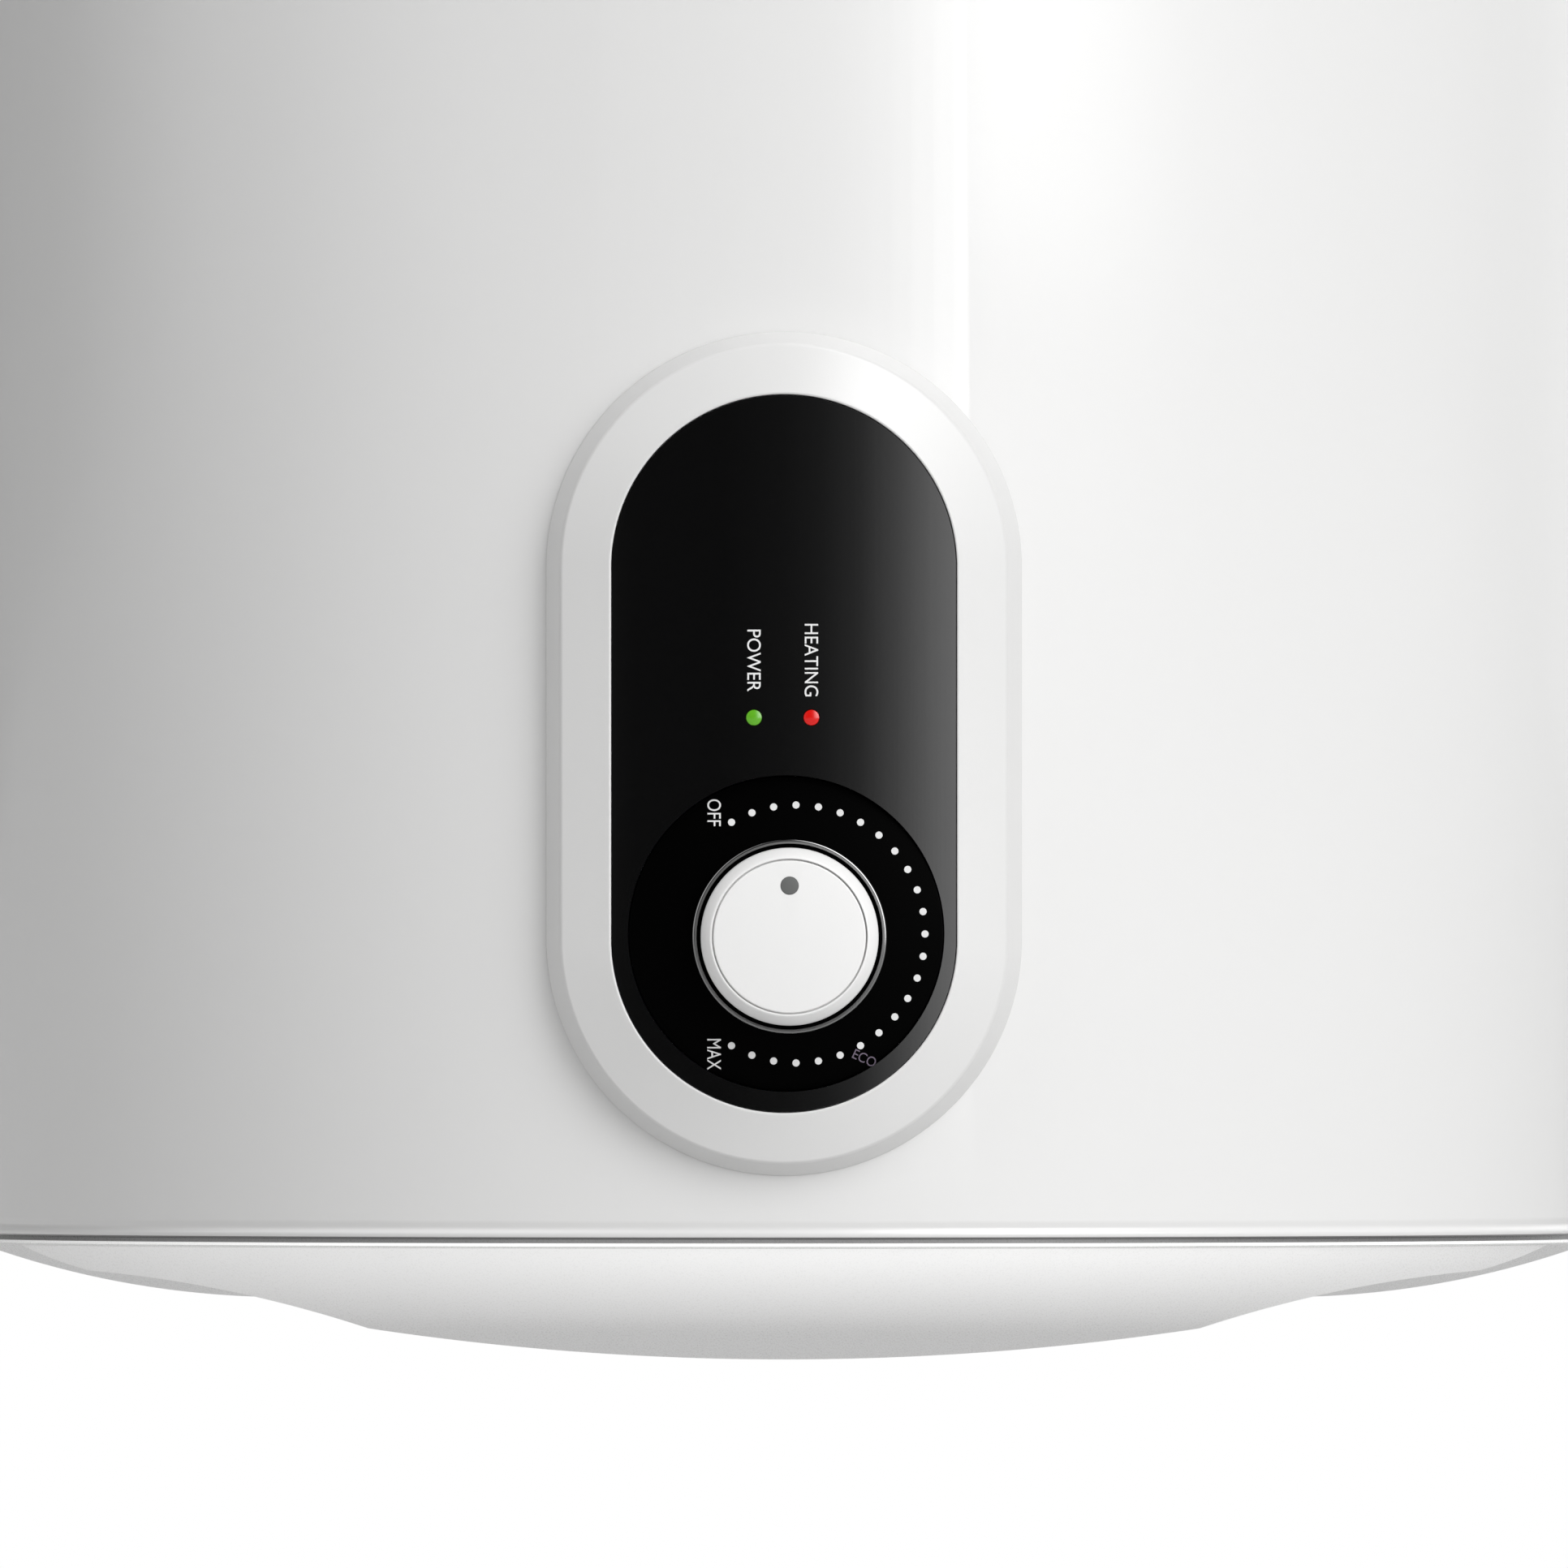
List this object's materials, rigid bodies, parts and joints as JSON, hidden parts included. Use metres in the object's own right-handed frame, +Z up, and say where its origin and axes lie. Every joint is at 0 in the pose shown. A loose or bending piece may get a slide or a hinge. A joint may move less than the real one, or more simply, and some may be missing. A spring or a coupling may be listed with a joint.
{
  "type": "storage water heater",
  "caption": "Wall-hung cylindrical electric storage water heater with a stadium control panel, temperature knob, lamps, dished caps and bottom pipe connections.",
  "frame": {"origin": "on the wall plane, midway between the two upper bracket holes", "axes": "+Z up along the tank's axis, +Y into the wall, the control panel faces -Y"},
  "size_m": [0.388, 0.4222, 0.7292],
  "materials": {
    "casing_enamel": "gloss white stove enamel",
    "white_moulding": "satin gloss white moulding",
    "black_gloss": "high gloss black",
    "black_satin": "satin black",
    "knob_white": "satin white",
    "marker_grey": "matt grey",
    "trim_chrome": "bright plated",
    "green_lens": "clear tinted",
    "red_lens": "clear tinted",
    "zinc_steel": "bright zinc plated",
    "tank_steel": "blue glass enamel",
    "foam": "cellular, cut skin",
    "rubber_seal": "matt",
    "copper": "drawn copper",
    "brass": "turned",
    "magnesium": "dull cast",
    "pipe_steel": "machined thread",
    "blue_collar": "moulded",
    "red_collar": "moulded",
    "gland_grey": "moulded nylon",
    "ivory_plastic": "moulded thermoset",
    "brown_plastic": "moulded phenolic",
    "housing_plastic": "moulded",
    "circuit_board": "lacquered laminate",
    "wire_cover": "extruded sleeve",
    "button_red": "moulded"
  },
  "bodies": {
    "heater": {"outer_casing": "casing_enamel", "top_cap": "white_moulding", "lower_cap": "white_moulding", "cap_screws": "zinc_steel", "foam_insulation": "foam", "tank_shell": "tank_steel", "tank_top_head": "tank_steel", "tank_bottom_head": "tank_steel", "upper_wall_bracket": "zinc_steel", "lower_wall_bracket": "zinc_steel", "flange_collar": "tank_steel", "flange_studs": "zinc_steel", "flange_gasket": "rubber_seal", "flange_plate": "zinc_steel", "flange_nuts": "zinc_steel", "heating_element": "copper", "element_terminals": "ivory_plastic", "thermostat_well": "copper", "cutout_well": "copper", "anode_rod": "magnesium", "anode_stud": "zinc_steel", "cold_inlet_pipe": "pipe_steel", "inlet_diffuser": "ivory_plastic", "hot_outlet_pipe": "pipe_steel", "cold_collar": "blue_collar", "hot_collar": "red_collar", "gland_body": "gland_grey", "gland_locknut": "gland_grey", "gland_seal": "rubber_seal", "gland_dome_nut": "gland_grey", "electrics_bracket": "zinc_steel", "bracket_screws": "zinc_steel", "terminal_block": "ivory_plastic", "terminal_screws": "brass", "earth_screw": "brass", "cutout_body": "brown_plastic", "cutout_bulb": "copper", "wiring": "wire_cover", "wiring_duct": "gland_grey", "control_housing": "housing_plastic", "housing_screws": "zinc_steel", "bezel": "white_moulding", "fascia": "black_gloss", "dial_plate": "black_satin", "trim_ring": "trim_chrome", "thermostat_body": "brown_plastic", "thermostat_bracket": "zinc_steel", "thermostat_bulb": "copper", "power_lens": "green_lens", "heating_lens": "red_lens", "lamp_board": "circuit_board", "lamps": "ivory_plastic"},
    "knob": {"knob": "knob_white", "knob_face": "knob_white", "knob_marker": "marker_grey", "knob_clip": "zinc_steel", "thermostat_spindle": "zinc_steel"},
    "adjuster": {"thermostat_adjuster": "brass"},
    "reset": {"reset_button": "button_red"}
  },
  "joints": [
    {"name": "knob_turn", "type": "hinge", "parent": "heater", "child": "knob", "pos_m": [0.0013, -0.40497, -0.4494], "axis": [0, 1, 0], "range_deg": [-30, 210]},
    {"name": "adjuster_travel", "type": "slide", "parent": "heater", "child": "adjuster", "axis": [0, 1, 0], "range_m": [-0.00012, 0.00075]},
    {"name": "reset_press", "type": "slide", "parent": "heater", "child": "reset", "axis": [0, 0, 1], "range_m": [0, 0.0015], "stiffness_N_per_m": 300}
  ],
  "couplings": [
    {"joint": "adjuster_travel", "follows": "knob_turn", "m_per_rad": 0.00019894}
  ]
}
